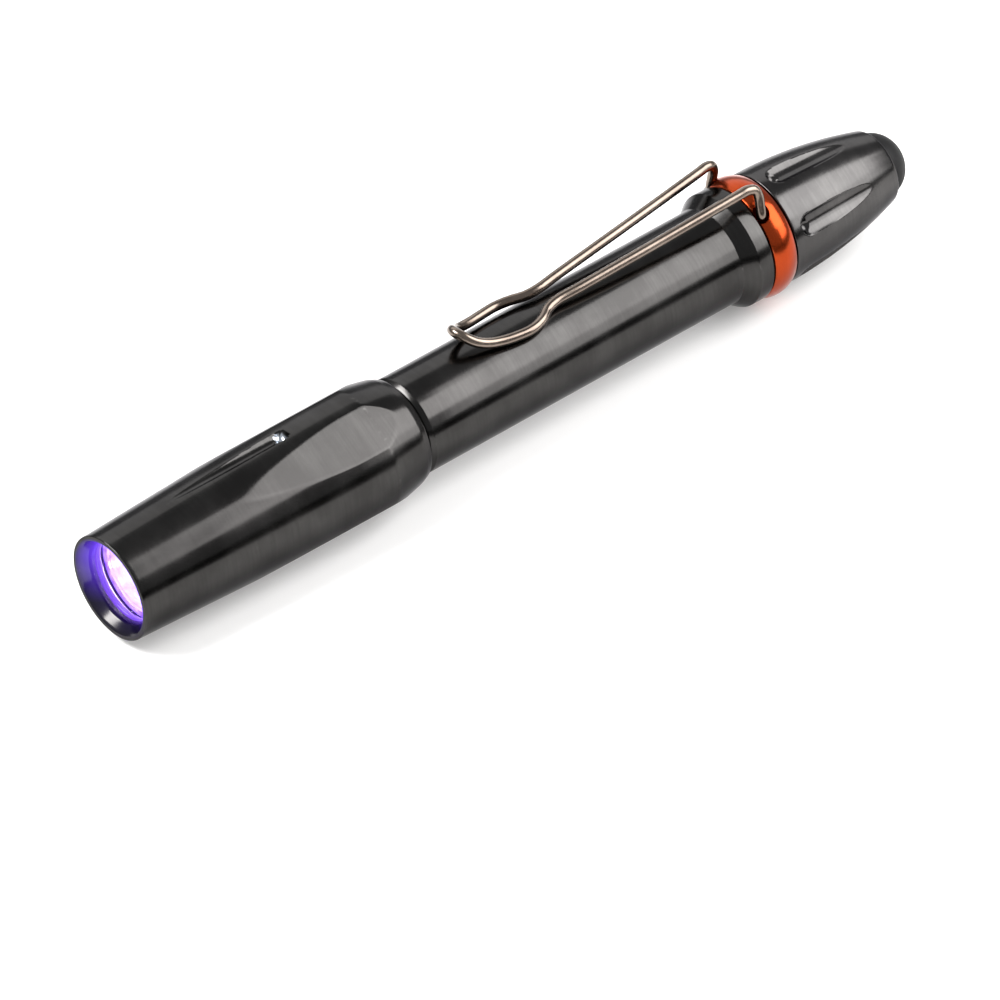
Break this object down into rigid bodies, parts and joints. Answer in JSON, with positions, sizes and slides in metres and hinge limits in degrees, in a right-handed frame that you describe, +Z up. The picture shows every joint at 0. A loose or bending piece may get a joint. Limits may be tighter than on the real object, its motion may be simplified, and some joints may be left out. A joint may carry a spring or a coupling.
{
  "type": "counterfeit detector pen",
  "caption": "Ultraviolet pen torch for checking banknotes, with screw-on head and tail cap, push button, accent ring and bent-wire pocket clip.",
  "frame": {"origin": "on the surface the pen lies on, under the middle of its length", "axes": "+X along the pen from the lens to the button, +Z up through the pocket clip"},
  "size_m": [0.1322, 0.017, 0.0195],
  "materials": {
    "black_anodised": "glossy black hard anodised, faint turning lines",
    "orange_anodised": "bright orange anodised",
    "clip_wire": "polished nickel-plated spring wire",
    "black_rubber": "matt moulded rubber",
    "lens_glass": "clear polished",
    "bright_reflector": "smooth metallised cup",
    "led_dome": "clear silicone dome on a white base",
    "white_board": "white solder mask on an aluminium board",
    "brass": "turned brass",
    "green_board": "green solder mask",
    "spring_steel": "bright spring wire",
    "battery_wrap": "printed wrap without marks, weighed as a whole cell",
    "black_plastic": "moulded black plastic"
  },
  "bodies": {
    "barrel": {"barrel": "black_anodised", "battery_front": "battery_wrap", "battery_rear": "battery_wrap"},
    "head_ring": {"head_oring": "black_rubber"},
    "head": {"head_shell": "black_anodised", "lens_gasket": "black_rubber", "lens_window": "lens_glass", "reflector": "bright_reflector", "led_emitter": "led_dome", "led_board": "white_board", "led_pill": "brass", "driver_board": "green_board", "contact_spring": "spring_steel"},
    "clip_ring": {"accent_ring": "orange_anodised"},
    "clip": {"pocket_clip": "clip_wire"},
    "cap_ring": {"tail_oring": "black_rubber"},
    "cap": {"tail_cap": "black_anodised", "tail_spring": "spring_steel", "switch_retainer": "brass", "switch_board": "green_board", "switch_housing": "black_plastic", "plunger_spring": "spring_steel", "switch_boot": "black_rubber"},
    "button": {"switch_plunger": "black_plastic"}
  },
  "joints": [
    {"name": "head_turn", "type": "hinge", "parent": "barrel", "child": "head_ring", "pos_m": [-0.0215, 0, 0.00872], "axis": [-1, 0, 0], "range_deg": [0, 2881]},
    {"name": "head_travel", "type": "slide", "parent": "head_ring", "child": "head", "axis": [-1, 0, 0], "range_m": [0, 0.008]},
    {"name": "clip_ring_turn", "type": "hinge", "parent": "barrel", "child": "clip_ring", "pos_m": [0.03995, 0, 0.00872], "axis": [1, 0, 0], "range_deg": [-180, 180]},
    {"name": "clip_flex", "type": "hinge", "parent": "clip_ring", "child": "clip", "pos_m": [0.03895, 0, 0.01492], "axis": [0, 1, 0], "range_deg": [0, 5], "stiffness_Nm_per_rad": 2.5},
    {"name": "cap_turn", "type": "hinge", "parent": "barrel", "child": "cap_ring", "pos_m": [0.04405, 0, 0.00872], "axis": [1, 0, 0], "range_deg": [0, 2521]},
    {"name": "cap_travel", "type": "slide", "parent": "cap_ring", "child": "cap", "axis": [1, 0, 0], "range_m": [0, 0.007]},
    {"name": "button_press", "type": "slide", "parent": "cap", "child": "button", "axis": [-1, 0, 0], "range_m": [0, 0.0015], "stiffness_N_per_m": 1500, "deforming": ["switch_boot", "plunger_spring"]}
  ],
  "couplings": [
    {"joint": "head_turn", "follows": "head_travel", "rad_per_m": 6283.2},
    {"joint": "cap_turn", "follows": "cap_travel", "rad_per_m": 6283.2}
  ]
}
